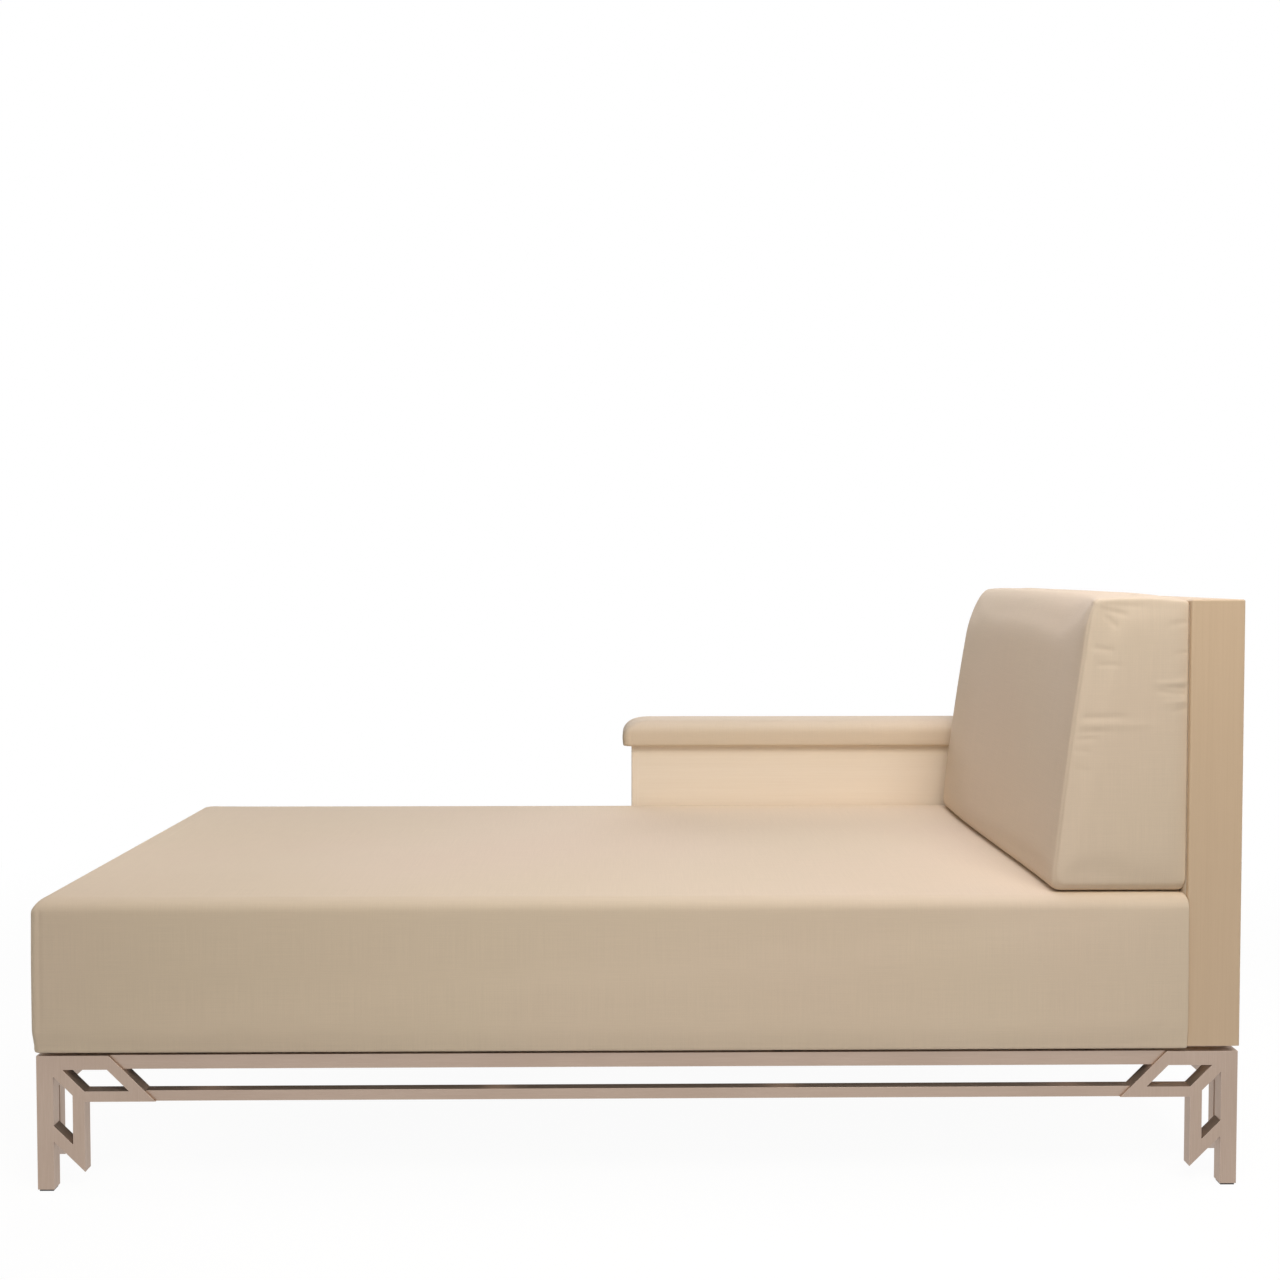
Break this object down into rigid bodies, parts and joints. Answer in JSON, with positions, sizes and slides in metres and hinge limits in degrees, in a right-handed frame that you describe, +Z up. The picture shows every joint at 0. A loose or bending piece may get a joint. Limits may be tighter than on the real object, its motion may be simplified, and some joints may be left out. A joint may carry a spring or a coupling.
{
  "type": "chaise longue",
  "caption": "Chaise longue with an upholstered seat box, slab back, one low side arm with a padded cap, a loose wedge back cushion and a fretted metal base.",
  "frame": {"origin": "on the floor, at the middle of the part's plan", "axes": "+X from the foot end to the back, +Y from the open front side to the side with the arm, +Z up"},
  "size_m": [1.83, 0.84, 0.907],
  "materials": {
    "upholstery": "plain woven, soft sheen",
    "panel": "bleached, satin lacquer",
    "base_metal": "satin champagne",
    "timber": "sawn",
    "foam": "open cell",
    "webbing": "woven tape",
    "dust_cloth": "thin black cloth",
    "steel": "zinc plated",
    "brass": "plain",
    "nylon": "moulded"
  },
  "bodies": {
    "chaise": {"arm_bottom_rail": "timber", "arm_cap_board": "timber", "arm_cap_cover": "upholstery", "arm_cap_foam": "foam", "arm_cap_screws": "steel", "arm_foot_lipping": "panel", "arm_foot_stile": "timber", "arm_head_stile": "timber", "arm_inner_skin": "panel", "arm_outer_skin": "panel", "arm_top_rail": "timber", "back_bottom_rail": "timber", "back_front_lipping": "panel", "back_front_stile": "timber", "back_inner_skin": "panel", "back_middle_rail": "timber", "back_outer_skin": "panel", "back_rear_lipping": "panel", "back_rear_stile": "timber", "back_top_lipping": "panel", "back_top_rail": "timber", "base_screws": "steel", "cross_bars": "base_metal", "end_plate_front_foot": "base_metal", "end_plate_front_head": "base_metal", "end_plate_rear_foot": "base_metal", "end_plate_rear_head": "base_metal", "leg_glides": "nylon", "leg_plate_front_foot": "base_metal", "leg_plate_front_head": "base_metal", "leg_plate_rear_foot": "base_metal", "leg_plate_rear_head": "base_metal", "lower_rail_foot": "base_metal", "lower_rail_front": "base_metal", "lower_rail_head": "base_metal", "lower_rail_rear": "base_metal", "panel_bolts": "steel", "panel_inserts": "brass", "rail_pins": "steel", "seat_corner_blocks": "timber", "seat_cover": "upholstery", "seat_cross_webbing": "webbing", "seat_dust_cover": "dust_cloth", "seat_foam": "foam", "seat_foot_rail": "timber", "seat_front_rail": "timber", "seat_head_rail": "timber", "seat_long_webbing": "webbing", "seat_rear_rail": "timber", "seat_stretchers": "timber", "spacer_pads": "nylon", "upper_rail_foot": "base_metal", "upper_rail_front": "base_metal", "upper_rail_head": "base_metal", "upper_rail_rear": "base_metal"},
    "back_cushion": {"back_cushion_cover": "upholstery", "back_cushion_foam": "foam", "back_cushion_zip": "webbing"},
    "zip_slider": {"zip_slider": "steel"}
  },
  "joints": [
    {"name": "back_cushion_lift", "type": "slide", "parent": "chaise", "child": "back_cushion", "axis": [0, 0, 1], "range_m": [0, 0.48]},
    {"name": "zip_slide", "type": "slide", "parent": "back_cushion", "child": "zip_slider", "axis": [0, 1, 0], "range_m": [0, 0.44]}
  ]
}
